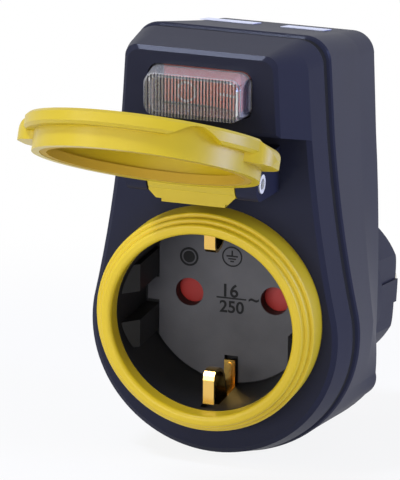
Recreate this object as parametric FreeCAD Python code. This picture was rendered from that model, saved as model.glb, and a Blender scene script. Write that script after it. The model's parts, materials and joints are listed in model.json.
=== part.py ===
import FreeCAD, Part
import math
import os

# Earthed 16 A adapter for damp places: a wall plug at the back, a switched socket under a lid in front.
# Millimetres. The origin lies midway between the plug's pins, on the face that meets the wall socket.
# +X is right seen from the front, +Y is the way the plug goes in, +Z is up.
# The socket, its lid and the switch share a face that leans forward, so it looks a little downwards.
# They are drawn upright in that face's own frame, x, depth, height, with depth 0 at the cup's rim and
# growing inwards, and then leant and moved to their place by on_face().

V = FreeCAD.Vector

# Lie of the socket face
face_tilt = 10.0
mouth_y = -88.0
mouth_z = 3.0

# Plug
pin_r = 2.4
pin_length = 19.0
pin_pitch = 19.0
pin_flange_r = 3.4
pin_flange_t = 2.0
pin_root_r = 2.8
pin_tail = 14.0
pin_tail_r = 2.0
plug_r = 18.2
plug_wall = 2.4
plug_face_t = 4.0
plug_edge = 1.6
flat_half = 16.2
flat_height = 18.8
flat_length = 17.0
flat_rib = 5.2
flat_rib_half = 16.8
retainer_t = 5.4
earth_strip_w = 5.0
earth_strip_t = 0.8
earth_strip_length = 17.5
earth_strip_sunk = 0.2

# Housing: face, draft and back
wall = 2.3
fit = 0.05
seat = 0.1
face_depth = 4.5
face_bevel = 0.9
split_depth = 14.5
joint_round = 1.1
draft = 0.14
round_r = 27.1
round_z = -3.6
top_z = 59.7
top_half = 19.8
corner_r = 5.5
waist_z = 40.0
waist_half = 20.8
flank_sag = 0.67
back_y = -41.5
back_rise = 2.3
crease_y = -55.0
crease_rise = 2.8

# Gasket in the joint between the two shells
gasket_t = 1.8
gasket_sunk = 0.6
gasket_w = 1.8

# Switch block and hinge lugs on the housing's front
block_depth = -5.5
block_bevel = 0.8
block_top_half = 16.5
block_foot_half = 17.3
block_height = 16.7
block_root_drop = 2.5
block_corner_r = 2.6
cavity_step = 0.5
hinge_depth = -7.5
hinge_z = 33.7
lug_r = 3.7
lug_inner = 9.7
lug_outer = 14.2
lug_foot = 5.0

# Screws that join the shells
screw_r = 1.5
screw_length = 18.5
screw_head_r = 2.8
screw_head_t = 2.0
post_wall = 1.1
post_front = 0.4
top_screw_x = 14.0
top_screw_drop = 6.3
foot_screw_z = -22.8
screw_seat = 12.0

# Socket well
well_r = 19.8
well_floor_r = 19.5
well_depth = 17.5
well_wall = 1.6
floor_t = 2.5
hole_clearance = 0.65
guide_half = 16.4
guide_slot = 6.4
guide_width = 6.0
guide_front = 5.0
guide_slope = 3.0
slot_clearance = 0.5
spindle_r = 1.5
post_r = 1.6
post_x = 12.0
post_z = 10.4

# Yellow ring round the mouth
ring_front = -4.0
ring_inner_r = 19.9
ring_outer_r = 24.0
collar_wall = 1.1
collar_length = 2.6

# Earth clips, one bent strap
clip_w = 2.4
clip_t = 0.7
clip_reach = 12.6
clip_top_reach = 14.8
clip_front = 2.5
clip_nose = 1.3
clip_flat = 0.6
clip_back = 5.0
clip_foot = 0.4
clip_length = 8.6
prong_rib = 1.1
prong_rise = 0.25
notch_half = 1.5
notch_depth = 1.4
notch_room = 0.6
slot_skin = 0.5

# Shutter, its spring and its cover
shutter_gap = 0.25
shutter_t = 1.1
lobe_r = 3.9
hub_r = 3.2
shutter_arm = 4.6
spring_t = 0.4
spring_r = 4.6
cover_r = 17.8
cover_t = 1.8
cover_clearance = 0.4
pocket_r = 6.4
pocket_depth = 1.1

# Contacts
contact_wall = 0.9
contact_length = 12.6
contact_slot = 1.2
contact_seat = 0.5
contact_tab = 11.0
contact_tab_w = 4.6
bar_w = 4.0
bar_top = 2.0
bar_bend = 1.0
bar_drop = 4.0
bar_run = 11.0
carrier_half = 14.6
carrier_height = 12.6
carrier_length = 13.0
carrier_gap = 0.3

# Hinge pin and lid
hinge_pin_r = 2.0
hinge_pin_bore = 1.2
hinge_pin_proud = 0.2
knuckle_r = 3.5
knuckle_half = 9.4
lid_open = 115.0
lid_rim = -4.3
lid_skirt_r = 23.0
lid_skirt_wall = 1.6
lid_top = -11.8
lid_crown = 1.1
lid_plate = 1.5
brim_reach = 2.2
brim_t = 3.3
brim_bevel = 0.6
brim_end = 7.0
brim_end_round = 3.0
grip_angle = -50.0
grip_half = 6.6
grip_web = 0.8
tab_reach = 4.3
tab_half = 6.6
tab_lip = 4.8
tab_sag = 3.4
heel_t = 5.2
heel_half = 6.9
heel_step = 4.4
heel_slant = 1.6
heel_drop = 5.4
heel_set = 0.9
seal_w = 1.4
seal_t = 2.0

# Switch
window_half = 11.3
window_height = 10.4
window_corner = 2.4
switch_drop = 8.2
boot_front = -11.0
boot_wall = 0.7
boot_half = 11.1
boot_draft = 0.6
boot_bevel = 0.4
boot_height = 9.8
boot_flange = 1.1
boot_flange_t = 0.8
boot_ribs = 28
boot_rib_depth = 0.35
frame_t = 1.4
rocker_half = 8.7
rocker_height = 7.8
rocker_swing = 9.0
rocker_wall = 1.1
rocker_dish = 1.0
rocker_front = -2.6
rocker_skirt = 3.4
rocker_pivot = 1.4
opening_gap = 0.9
trunnion_r = 1.2
body_half = 10.6
body_height = 9.8
body_wall = 0.9
body_depth = 14.6
blade_half = 6.0
blade_t = 0.7
blade_w = 3.6
blade_depth = 9.8
blade_swing = 7.0
blade_pin_r = 0.7
blade_hub = 0.5
plunger_r = 1.0
terminal_x = 7.2
terminal_w = 4.6
terminal_t = 0.8
terminal_length = 6.0
lamp_x = 5.4
lamp_depth = 6.2
lamp_r = 1.4
lamp_length = 5.8
resistor_x = 8.3
resistor_depth = 7.9
resistor_r = 0.8
resistor_length = 5.0
lead_r = 0.25

# Wires and labels
wire_r = 0.9
wire_bend = 5.0
wire_gap = 0.4
wire_lane = 5.0
wire_top_lead = 8.5
wire_room = 6.0
lead_low = 4.0
lead_start = 8.0
lead_end = 11.6
lead_rise = 0.4
label_t = 0.15
label_gap = 0.02
label_left = -10.4
label_left_w = 12.0
label_right = 6.6
label_right_w = 9.6
label_length = 6.2
label_setback = 0.6

# Values that follow from those above
tan_tilt = math.tan(math.radians(face_tilt))
hole_r = pin_r + hole_clearance
half_pitch = pin_pitch / 2
back_of_floor = well_depth + floor_t
well_outer_r = well_r + well_wall
collar_bore_r = well_outer_r + fit
collar_outer_r = collar_bore_r + collar_wall
mouth_hole_r = collar_outer_r + fit
shutter_depth = back_of_floor + shutter_gap
cover_depth = shutter_depth + shutter_t + shutter_gap
bridge_depth = cover_depth + cover_t + seat
carrier_depth = bridge_depth + clip_t + carrier_gap
bore_of_neck = plug_r - plug_wall
brim_r = lid_skirt_r + brim_reach
tab_r = lid_skirt_r + tab_reach
collar_end = face_depth + collar_length
back_top = top_z + back_rise
crease_top = top_z + crease_rise
block_foot_z = top_z - block_height
block_root_z = block_foot_z - block_root_drop
top_screw_z = top_z - top_screw_drop
switch_z = top_z - switch_drop
prong_depth = well_depth - 1.5
label_start = crease_y + label_setback
label_end = label_start + label_length
wire_top = top_z - 3.4
wire_turn = waist_z + 2
wire_back = back_y - wire_room
tilt_axis = V(1, 0, 0)


# Placing and joining

def on_face(shape):
    """Lean a piece drawn in the face's frame and move it to the socket's mouth."""
    placed = shape.copy()
    placed.rotate(V(0, 0, 0), tilt_axis, face_tilt)
    placed.translate(V(0, mouth_y, mouth_z))
    return placed


def face_point(x, depth, height):
    """The place in the part's frame of a point given in the face's frame."""
    lean = math.radians(face_tilt)
    y = mouth_y + depth * math.cos(lean) - height * math.sin(lean)
    z = mouth_z + depth * math.sin(lean) + height * math.cos(lean)
    return V(x, y, z)


def dome(radius, y):
    """Two profile steps that close a bar of this radius with a half-round end at y."""
    slant = radius * math.sin(math.radians(45))
    return [(radius, y - radius), (slant, y - radius + slant, 0), (0, y)]


def fuse(shapes):
    """One solid from shapes that overlap."""
    whole = shapes[0]
    for piece in shapes[1:]:
        whole = whole.fuse(piece)
    return whole.removeSplitter()


def mirrored(shape, normal=V(1, 0, 0)):
    return shape.mirror(V(0, 0, 0), normal)


def export(name, shape):
    """Write one sub-part; a group of loose solids stays a compound."""
    solids = shape.Solids
    out = solids[0] if len(solids) == 1 else Part.makeCompound(solids)
    if not out.isValid():
        print("not valid:", name)
    out.exportStep("parts/" + name + ".step")
    print(name, len(solids), round(out.Volume, 1))


# Small shape helpers

def box(x0, x1, y0, y1, z0, z1):
    return Part.makeBox(x1 - x0, y1 - y0, z1 - z0, V(x0, y0, z0))


def rod(radius, y0, y1, x=0.0, z=0.0):
    """Round bar along Y."""
    return Part.makeCylinder(radius, y1 - y0, V(x, y0, z), V(0, 1, 0))


def cross_rod(radius, x0, x1, y, z):
    """Round bar along X."""
    return Part.makeCylinder(radius, x1 - x0, V(x0, y, z), V(1, 0, 0))


def upright_rod(radius, z0, z1, x, y):
    """Round bar along Z."""
    return Part.makeCylinder(radius, z1 - z0, V(x, y, z0), V(0, 0, 1))


def turned(points):
    """Solid of revolution about Y; points are (radius, y), and three-number steps are arc middles."""
    edges = []
    here = None
    middle = None
    for step in points + [points[0]]:
        if len(step) == 3:
            middle = V(step[0], step[1], 0)
            continue
        there = V(step[0], step[1], 0)
        if here is not None:
            if middle is not None:
                edges.append(Part.Arc(here, middle, there).toShape())
                middle = None
            else:
                edges.append(Part.makeLine(here, there))
        here = there
    face = Part.Face(Part.Wire(edges))
    return face.revolve(V(0, 0, 0), V(0, 1, 0), 360)


def ring_sector(inner, outer, y0, y1, middle_angle, span):
    """Part of a flat ring about Y; angles run from +X towards +Z."""
    corners = [V(inner, y0, 0), V(outer, y0, 0), V(outer, y1, 0), V(inner, y1, 0)]
    face = Part.Face(Part.makePolygon(corners + [corners[0]]))
    solid = face.revolve(V(0, 0, 0), V(0, -1, 0), span)
    solid.rotate(V(0, 0, 0), V(0, -1, 0), middle_angle - span / 2)
    return solid


def side_profile(points, x0, x1):
    """Closed (y, z) profile, straight between its points, carried along X."""
    corners = [V(x0, y, z) for y, z in points]
    face = Part.Face(Part.makePolygon(corners + [corners[0]]))
    return face.extrude(V(x1 - x0, 0, 0))


def strip(path, thickness, width, x=0.0):
    """Sheet-metal strip: a (y, z) path thickened to its left and carried across X."""
    left = []
    for i, (y, z) in enumerate(path):
        before = path[max(i - 1, 0)]
        after = path[min(i + 1, len(path) - 1)]
        a = math.atan2(z - before[1], y - before[0]) if i > 0 else None
        b = math.atan2(after[1] - z, after[0] - y) if i < len(path) - 1 else a
        a = b if a is None else a
        half_turn = (b - a) / 2
        way = a + half_turn + math.pi / 2
        reach = thickness / math.cos(half_turn)
        left.append((y + reach * math.cos(way), z + reach * math.sin(way)))
    return side_profile(list(path) + left[::-1], x - width / 2, x + width / 2)


def rounded_plate(half, height, radius, y0, y1, z):
    """Plate in XZ with rounded corners, from y0 to y1, centred at height z."""
    plate = box(-half, half, y0, y1, z - height / 2, z + height / 2)
    edges = [e for e in plate.Edges if abs(e.tangentAt(e.FirstParameter).y) > 0.99]
    return plate.makeFillet(radius, edges)


def wire_tube(points, radius, bend):
    """Round wire through points, with an arc of about the bend radius at each turn."""
    edges = []
    start = points[0]
    for before, corner, after in zip(points, points[1:], points[2:]):
        into = (corner - before).normalize()
        out = (after - corner).normalize()
        turn = into.getAngle(out)
        room = 0.45 * min((corner - before).Length, (after - corner).Length)
        cut = min(bend * math.tan(turn / 2), room)
        first = corner - into * cut
        last = corner + out * cut
        arc_r = cut / math.tan(turn / 2)
        inward = (out - into).normalize()
        middle = corner + inward * (arc_r / math.cos(turn / 2) - arc_r)
        edges.append(Part.makeLine(start, first))
        edges.append(Part.Arc(first, middle, last).toShape())
        start = last
    edges.append(Part.makeLine(start, points[-1]))
    path = Part.Wire(edges)
    way = (points[1] - points[0]).normalize()
    section = Part.Wire(Part.makeCircle(radius, points[0], way))
    return path.makePipeShell([section], True, False)


# Housing sections

def half_outline_wire(points, bulges, foot, y):
    """Symmetric closed wire in the plane at y.

    points are the right half's (x, z), from the top edge's end round to the start of the foot's arc,
    bulges how far the middle of each edge between them stands outside its chord, and foot the
    lowest height, on the middle.
    """
    def place(p, side):
        return V(side * p[0], y, p[1])

    def edge(p, q, bulge, side):
        if abs(bulge) < 1e-6:
            return Part.makeLine(place(p, side), place(q, side))
        dx = q[0] - p[0]
        dz = q[1] - p[1]
        span = math.hypot(dx, dz)
        middle = ((p[0] + q[0]) / 2 - dz / span * bulge, (p[1] + q[1]) / 2 + dx / span * bulge)
        return Part.Arc(place(p, side), place(middle, side), place(q, side)).toShape()

    edges = [Part.makeLine(place(points[0], -1), place(points[0], 1))]
    for p, q, bulge in zip(points, points[1:], bulges):
        edges.append(edge(p, q, bulge, 1))
    end = points[-1]
    edges.append(Part.Arc(place(end, 1), V(0, y, foot), place(end, -1)).toShape())
    for p, q, bulge in reversed(list(zip(points, points[1:], bulges))):
        edges.append(edge(p, q, bulge, -1))
    return Part.Wire(edges)


def housing_wire(depth, inset=0.0):
    """The housing's outline at this depth behind the mouth, in the face's frame.

    The walls draw along the plug's axis, so they slide down the leaning face and widen as they go.
    """
    behind = depth - face_depth
    grow = draft * behind - inset
    slide = -tan_tilt * behind
    r = round_r + grow
    centre = round_z + slide
    corner = max(corner_r - inset, 1.0)
    top = top_z + grow + slide
    half = top_half + grow
    flank_end = math.radians(9.6)
    cheek_end = math.radians(-25)
    foot_start = math.radians(-50)

    def on_circle(angle):
        return (r * math.cos(angle), centre + r * math.sin(angle))

    points = [
        (half - corner, top),
        (half, top - corner),
        (waist_half + grow, waist_z + slide),
        on_circle(flank_end),
        on_circle(cheek_end),
        on_circle(foot_start),
    ]
    bulges = [
        corner * (1 - math.cos(math.radians(45))),
        0,
        -flank_sag,
        r * (1 - math.cos((flank_end - cheek_end) / 2)),
        r * (1 - math.cos((cheek_end - foot_start) / 2)),
    ]
    return half_outline_wire(points, bulges, centre - r, depth)


def rounded_joint(edge, way):
    """Sections that round a shell's edge off towards the joint at this depth; way is 1 or -1."""
    wires = []
    for turn in (0, 35, 65, 90):
        lean = math.radians(turn)
        wires.append(housing_wire(edge - way * joint_round * (1 - math.sin(lean)),
                                  joint_round * (1 - math.cos(lean))))
    return wires


def back_wire(y, inset, top, half, corner, waist, flank, cheek, foot_start, foot, bulges):
    """One upright section of the rear shell, drawn in by the inset."""
    corner = corner - inset
    points = [
        (half - inset - corner, top - inset),
        (half - inset, top - inset - corner),
        (waist[0] - inset, waist[1]),
        (flank[0] - inset, flank[1]),
        (cheek[0] - inset, cheek[1] + 0.3 * inset),
        (foot_start[0] - 0.8 * inset, foot_start[1] + 0.6 * inset),
    ]
    rounded = [corner * (1 - math.cos(math.radians(45)))] + bulges
    return half_outline_wire(points, rounded, foot + inset, y)


def crease_wire(inset=0.0):
    """Section where the round front half of the rear shell turns into its squarer back."""
    return back_wire(crease_y, inset, crease_top, 20.1, 5.3, (21.4, 41.3), (27.0, 1.6), (25.2, -12.2),
                     (20.7, -19.1), -27.8, [0, -0.4, 0.6, 0.9])


def rear_wire(inset=0.0, y=back_y):
    """Section at the housing's flat back: squarer, with a small corner each side of the foot's arc."""
    return back_wire(y, inset, back_top, 19.4, 5.0, (21.0, 40.4), (24.1, -3.8), (24.6, -12.0),
                     (22.9, -16.7), -27.4, [0, 0.55, 0.15, 0.9])


def loft(wires):
    return Part.makeLoft(wires, True, True)


def block_wire(depth, half, top, corner, foot_half, foot):
    """Outline of the switch block at this depth: flat foot, rounded top corners."""
    right = [V(half - corner, depth, top), V(half, depth, top - corner), V(foot_half, depth, foot)]
    left = [V(-p.x, p.y, p.z) for p in right]
    k = corner * (1 - math.sin(math.radians(45)))
    edges = [
        Part.makeLine(left[0], right[0]),
        Part.Arc(right[0], V(half - k, depth, top - k), right[1]).toShape(),
        Part.makeLine(right[1], right[2]),
        Part.makeLine(right[2], left[2]),
        Part.makeLine(left[2], left[1]),
        Part.Arc(left[1], V(-half + k, depth, top - k), left[0]).toShape(),
    ]
    return Part.Wire(edges)


def block_solid(inset, front, root, step=0.0):
    """The switch block, flaring back from its front to the housing's own outline, less the step."""
    bevel = block_bevel if inset == 0 else 0.01
    top = top_z + 0.4 - inset
    front_corner = max(block_corner_r - inset, 0.8)
    root_corner = max(corner_r - inset, 1.5)
    grow = draft * (root - face_depth)
    slide = (root - block_depth) / (face_depth - block_depth - bevel)
    draw_in = inset + step
    return loft([
        block_wire(front, block_top_half - inset - bevel, top - bevel, front_corner,
                   block_foot_half - inset - bevel, block_foot_z + inset + bevel),
        block_wire(front + bevel, block_top_half - inset, top, front_corner,
                   block_foot_half - inset, block_foot_z + inset),
        block_wire(root, top_half + grow - draw_in,
                   top_z + grow - tan_tilt * (root - face_depth) - draw_in,
                   root_corner, waist_half + grow - draw_in,
                   block_foot_z + inset - (block_foot_z - block_root_z) * slide),
    ])


# Screw places

screw_places = [(-top_screw_x, top_screw_z), (top_screw_x, top_screw_z), (0.0, foot_screw_z)]


def split_y_at(z):
    """Y of the joint plane at height z in the part's frame."""
    lean = math.radians(face_tilt)
    height = (z - mouth_z - split_depth * math.sin(lean)) / math.cos(lean)
    return mouth_y + split_depth * math.cos(lean) - height * math.sin(lean)


def screw_seat_y(z):
    """Y of the face under a screw's head, the same way behind the joint for every screw."""
    return split_y_at(z) + screw_seat


# Housing

def front_shell():
    """Front half: face plate, flared walls, switch block, hinge lugs and screw posts."""
    rear = split_depth - gasket_t / 2
    outer = loft([housing_wire(face_depth, face_bevel), housing_wire(face_depth + face_bevel)]
                 + rounded_joint(rear, 1))
    outer = fuse([outer, block_solid(0, block_depth, face_depth + face_bevel), lug(), mirrored(lug())])
    cavity = loft([housing_wire(face_depth + wall, wall), housing_wire(rear + 1, wall)])
    block_cavity = block_solid(wall, block_depth + wall, face_depth + wall + 1, cavity_step)
    window = rounded_plate(window_half, window_height, window_corner, block_depth - 1,
                           block_depth + wall + 1, switch_z)
    mouth = rod(mouth_hole_r, face_depth - 1, face_depth + wall + 1)
    shell = outer.cut(cavity).cut(block_cavity).cut(window).cut(mouth)
    pin_bore = cross_rod(hinge_pin_r + fit, -lug_outer - 1, lug_outer + 1, hinge_depth, hinge_z)
    shell = on_face(shell.cut(pin_bore))
    behind_frame = box(-top_half - 10, top_half + 10, post_front, split_depth, -top_z, top_z + 10)
    space = on_face(cavity.fuse(block_cavity).common(behind_frame))
    posts = [screw_post(x, z, space) for x, z in screw_places]
    shell = fuse([shell] + posts)
    for x, z in screw_places:
        seat_y = screw_seat_y(z)
        shell = shell.cut(rod(screw_r + fit, seat_y - screw_length - fit, seat_y, x, z))
    return shell


def lug():
    """Right hinge lug: a cheek that stands off the face and is rounded about the hinge."""
    foot = face_depth + face_bevel
    low = V(lug_inner, foot, hinge_z - lug_foot)
    high = V(lug_inner, foot, hinge_z + lug_foot)
    low_tip = V(lug_inner, hinge_depth, hinge_z - lug_r)
    high_tip = V(lug_inner, hinge_depth, hinge_z + lug_r)
    nose = V(lug_inner, hinge_depth - lug_r, hinge_z)
    edges = [
        Part.makeLine(low, low_tip),
        Part.Arc(low_tip, nose, high_tip).toShape(),
        Part.makeLine(high_tip, high),
        Part.makeLine(high, low),
    ]
    return Part.Face(Part.Wire(edges)).extrude(V(lug_outer - lug_inner, 0, 0))


def screw_post(x, z, space):
    """Post inside the front shell that a screw bites into, from the front wall to the joint."""
    end = split_y_at(z) - gasket_t
    start = end - screw_length
    return rod(screw_r + post_wall, start, end, x, z).common(space)


def housing_gasket():
    """Soft bead between the shells, a little sunk in their joint."""
    front = split_depth - gasket_t / 2
    rear = split_depth + gasket_t / 2
    outer = loft([housing_wire(front, gasket_sunk), housing_wire(rear, gasket_sunk)])
    inner = loft([housing_wire(front - 0.1, gasket_sunk + gasket_w),
                  housing_wire(rear + 0.1, gasket_sunk + gasket_w)])
    return on_face(outer.cut(inner))


def rear_shell():
    """Back half: drawn walls, flat back, neck and plug body, with long screw tubes inside."""
    joint = split_depth + gasket_t / 2
    edge = [on_face(wire) for wire in rounded_joint(joint, -1)]
    outer = loft(edge[::-1] + [crease_wire(), rear_wire()])
    inner_y = back_y - wall
    cavity = loft([on_face(housing_wire(joint - 0.1, wall)), crease_wire(wall),
                   rear_wire(wall, inner_y)])
    shell = outer.cut(cavity)
    tubes = []
    for x, z in screw_places:
        start = split_y_at(z) + gasket_t
        seat_y = screw_seat_y(z)
        tube = rod(screw_head_r + post_wall, seat_y - 2, back_y, x, z)
        stem = rod(screw_r + post_wall, start, seat_y, x, z)
        tubes.append(tube.fuse(stem).common(cavity))
    shell = fuse([shell, plug_body()] + tubes)
    shell = shell.cut(rod(bore_of_neck, inner_y - 1, -plug_face_t))
    for x, z in screw_places:
        seat_y = screw_seat_y(z)
        shell = shell.cut(rod(screw_head_r + fit, seat_y, back_y + 1, x, z))
        shell = shell.cut(rod(screw_r + fit, split_y_at(z) - gasket_t, seat_y + 1, x, z))
    for side in (-1, 1):
        shell = shell.cut(rod(pin_root_r + fit, -plug_face_t - 1, 1, side * half_pitch))
        shell = shell.cut(earth_notch(side))
    return shell


def plug_body():
    """Neck and plug in one bar: side flats, each with a low rib between, and a rounded front edge."""
    tip = -plug_edge
    bar = turned([(0, back_y - wall), (plug_r, back_y - wall), (plug_r, tip),
                  (plug_r - 0.3 * plug_edge, tip + 0.7 * plug_edge, 0), (plug_r - plug_edge, 0), (0, 0)])
    flat_z = flat_height / 2
    rib_z = flat_rib / 2
    for side in (-1, 1):
        for low, high in ((-flat_z, -rib_z), (rib_z, flat_z)):
            near, far = sorted((side * flat_half, side * (plug_r + 1)))
            bar = bar.cut(box(near, far, -flat_length, 1, low, high))
        near, far = sorted((side * flat_rib_half, side * (plug_r + 1)))
        bar = bar.cut(box(near, far, -flat_length, 1, -rib_z, rib_z))
    return bar


def earth_notch(side):
    """Channel for an earth strip in the plug's edge, and the slot where the strip goes inside."""
    half = earth_strip_w / 2 + fit
    bed = plug_r - earth_strip_sunk - earth_strip_t
    channel = box(-half, half, -earth_strip_length - fit, 1, bed, plug_r + 1)
    rear = -earth_strip_length - earth_strip_t - 2 * fit
    slot = box(-half, half, rear, -earth_strip_length + fit, bore_of_neck - 1, plug_r + 1)
    notch = channel.fuse(slot)
    return notch if side > 0 else mirrored(notch, V(0, 0, 1))


# Plug inside

def plug_pins():
    """Two round pins with domed tips, a root flush with the plug and a flange that the retainer traps."""
    flange = -plug_face_t - fit
    pin = turned([(0, -pin_tail), (pin_tail_r, -pin_tail), (pin_tail_r, flange - pin_flange_t),
                  (pin_flange_r, flange - pin_flange_t), (pin_flange_r, flange),
                  (pin_root_r, flange), (pin_root_r, 0), (pin_r, 0)] + dome(pin_r, pin_length))
    left = pin.copy()
    left.translate(V(-half_pitch, 0, 0))
    right = pin.copy()
    right.translate(V(half_pitch, 0, 0))
    return Part.makeCompound([left, right])


def pin_retainer():
    """Disc pressed in behind the plug's face to hold the pins."""
    front = -plug_face_t - 2 * fit
    disc = rod(bore_of_neck - fit, front - retainer_t, front)
    for side in (-1, 1):
        x = side * half_pitch
        disc = disc.cut(rod(pin_tail_r + fit, front - retainer_t - 1, 0, x))
        disc = disc.cut(rod(pin_flange_r + fit, front - pin_flange_t, 0, x))
    return disc


def plug_earth_strap():
    """One strip from the plug's top notch across the neck to the bottom notch."""
    z = plug_r - earth_strip_sunk
    back = -earth_strip_length
    path = [(-0.8, z - earth_strip_t), (back, z - earth_strip_t), (back, earth_strip_t - z),
            (-0.8, earth_strip_t - z)]
    return strip(path[::-1], earth_strip_t, earth_strip_w)


# Socket

def socket_ring():
    """Stepped yellow ring: rounded front band, bead, outer step, and a collar through the face."""
    r = ring_inner_r
    outer = ring_outer_r
    front = ring_front
    profile = [
        (r, 0), (r, front + 1.1), (r + 0.3, front + 0.3, 0), (r + 1.1, front),
        (r + 1.7, front), (r + 2.15, front + 0.2, 0), (r + 2.3, front + 0.7), (r + 2.4, front + 1.3),
        (r + 2.7, front + 1.3), (r + 3.1, front + 1.5, 0), (r + 3.25, front + 1.9),
        (r + 3.3, front + 2.7), (outer - 0.5, front + 2.7), (outer - 0.12, front + 2.85, 0),
        (outer, front + 3.2), (outer, face_depth), (collar_outer_r, face_depth),
        (collar_outer_r, collar_end), (collar_bore_r, collar_end), (collar_bore_r, 0),
    ]
    return on_face(turned(profile))


def socket_well():
    """Cup with its floor, pin holes, split guide blocks, clip slots, spindle and posts."""
    cup = turned([(0, well_depth), (well_floor_r, well_depth), (well_r, 0), (well_outer_r, 0),
                  (well_outer_r, back_of_floor), (0, back_of_floor)])
    blocks = [cup]
    bounds = rod(well_r + 0.6 * well_wall, 0, back_of_floor - 0.5)
    for side in (-1, 1):
        blocks.append(guide_pair(side).common(bounds))
        for end in (-1, 1):
            blocks.append(rod(post_r, back_of_floor - 0.5, carrier_depth, side * post_x, end * post_z))
    blocks.append(rod(spindle_r, back_of_floor - 0.5, cover_depth + cover_t))
    well = fuse(blocks)
    slot_half = clip_w / 2 + slot_clearance
    for side in (-1, 1):
        well = well.cut(rod(hole_r, well_depth - 1, back_of_floor + 0.01, side * half_pitch))
        low, high = sorted((side * (well_floor_r - 2.2), side * (well_outer_r + 1)))
        well = well.cut(box(-slot_half, slot_half, collar_end + seat, well_depth, low, high))
        low, high = sorted((side * (well_floor_r - 2.2), side * (well_outer_r - slot_skin)))
        well = well.cut(box(-slot_half, slot_half, clip_front - 1.2, well_depth, low, high))
        low, high = sorted((side * (prong_reach(side) - notch_room), side * (well_floor_r + 0.3)))
        well = well.cut(box(-notch_half, notch_half, prong_depth, well_depth + notch_depth, low, high))
    return on_face(well)


def prong_reach(side):
    """How far from the middle a prong's tip lies; the upper clip's side is 1."""
    return (clip_top_reach if side > 0 else clip_reach) + clip_nose


def guide_pair(side):
    """Two blocks beside the well's middle slot, with sloping front ends."""
    foot = well_depth + 0.5
    inner = side * guide_half
    slope_end = side * (guide_half + guide_slope)
    outer = side * (well_r + well_wall)
    low = guide_slot / 2
    corners = [V(inner, foot, low), V(inner, guide_front, low),
               V(slope_end, guide_front - guide_slope, low),
               V(outer, guide_front - guide_slope, low), V(outer, foot, low)]
    face = Part.Face(Part.makePolygon(corners + [corners[0]]))
    upper = face.extrude(V(0, 0, guide_width))
    return upper.fuse(mirrored(upper, V(0, 0, 1)))


def earth_clips():
    """Brass strap: an arched clip and a rear prong at the well's top and bottom, and a bridge."""
    leg = well_outer_r + 0.3
    upper = mirrored(earth_clip(clip_top_reach, leg), V(0, 0, 1))
    bridge = box(-clip_w / 2, clip_w / 2, bridge_depth, bridge_depth + clip_t, -leg, leg)
    return on_face(fuse([earth_clip(clip_reach, leg), upper, bridge]))


def earth_clip(reach, leg):
    """Lower clip: an arch that springs into the cup, and a ribbed prong beside the floor."""
    nose = [(clip_front + clip_nose * (1 - math.cos(a)), -reach - clip_nose * (1 - math.sin(a)))
            for a in (math.radians(turn) for turn in (0, 30, 60, 90))]
    middle = clip_front + clip_nose + clip_flat
    back = [(middle + clip_back * math.cos(a), -reach - clip_back * (1 - math.sin(a)))
            for a in (math.radians(turn) for turn in (90, 70, 50, 30))]
    path = ([(clip_front, -well_floor_r + clip_foot)] + nose + back
            + [(clip_front + clip_length, -leg - clip_t), (bridge_depth + clip_t, -leg - clip_t)])
    arch = strip(path, clip_t, clip_w)
    tip = -reach - clip_nose
    foot = -leg - 0.5 * clip_t
    prong = box(-clip_w / 2, clip_w / 2, prong_depth, prong_depth + clip_t, foot, tip)
    rib_top = tip - prong_rib
    front = prong_depth - prong_rise
    rib = box(-prong_rib / 2, prong_rib / 2, front, prong_depth + 0.1, -well_floor_r, rib_top)
    end = rod(prong_rib / 2, front, prong_depth + 0.1, 0, rib_top)
    return fuse([arch, prong, rib, end])


def shutter():
    """Red guard that turns about the spindle: a lobe over each pin hole on two arms."""
    y0 = shutter_depth
    y1 = shutter_depth + shutter_t
    parts = [rod(hub_r, y0, y1)]
    for side in (-1, 1):
        parts.append(rod(lobe_r, y0, y1, side * half_pitch))
    parts.append(box(-half_pitch, half_pitch, y0, y1, -shutter_arm / 2, shutter_arm / 2))
    guard = fuse(parts).cut(rod(spindle_r + fit, y0 - 1, y1 + 1))
    return on_face(guard)


def shutter_spring():
    """Flat spring wound round the spindle in the cover's pocket, with its tail in the pocket's rim."""
    y0 = shutter_depth + shutter_t + fit
    y1 = cover_depth + pocket_depth - fit
    coil = ring_sector(spring_r - spring_t, spring_r, y0, y1, 60, 300)
    tail = box(spring_r - spring_t, pocket_r - 0.3, y0, y1, 0, spring_t)
    tail.rotate(V(0, 0, 0), V(0, -1, 0), -90)
    return on_face(fuse([coil, tail]))


def shutter_cover():
    """Plate that keeps the shutter against the floor, with a round pocket for its spring."""
    y0 = cover_depth
    y1 = cover_depth + cover_t
    plate = rod(cover_r, y0, y1).cut(rod(pocket_r, y0 - 1, y0 + pocket_depth))
    plate = plate.cut(rod(spindle_r + fit, y0, y1 + 1))
    for side in (-1, 1):
        plate = plate.cut(rod(hole_r + cover_clearance, y0 - 1, y1 + 1, side * half_pitch))
        for end in (-1, 1):
            plate = plate.cut(rod(post_r + fit, y0 - 1, y1 + 1, side * post_x, end * post_z))
    return on_face(plate)


def contact(side):
    """Slit sleeve that grips a pin, with a back plate and a tab for its wire."""
    inner = pin_r
    outer = pin_r + contact_wall
    y0 = carrier_depth + contact_seat
    y1 = y0 + contact_length
    sleeve = rod(outer, y0, y1).cut(rod(inner, y0 - 1, y1 - contact_wall))
    slit = contact_slot / 2
    sleeve = sleeve.cut(box(-slit, slit, y0 - 1, y1 - 2, -outer - 1, outer + 1))
    half = contact_tab_w / 2
    tab = box(-half, half, y1 - fit, y1 + contact_wall, -half, contact_tab)
    piece = fuse([sleeve, tab])
    piece.translate(V(side * half_pitch, 0, 0))
    return on_face(piece)


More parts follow.
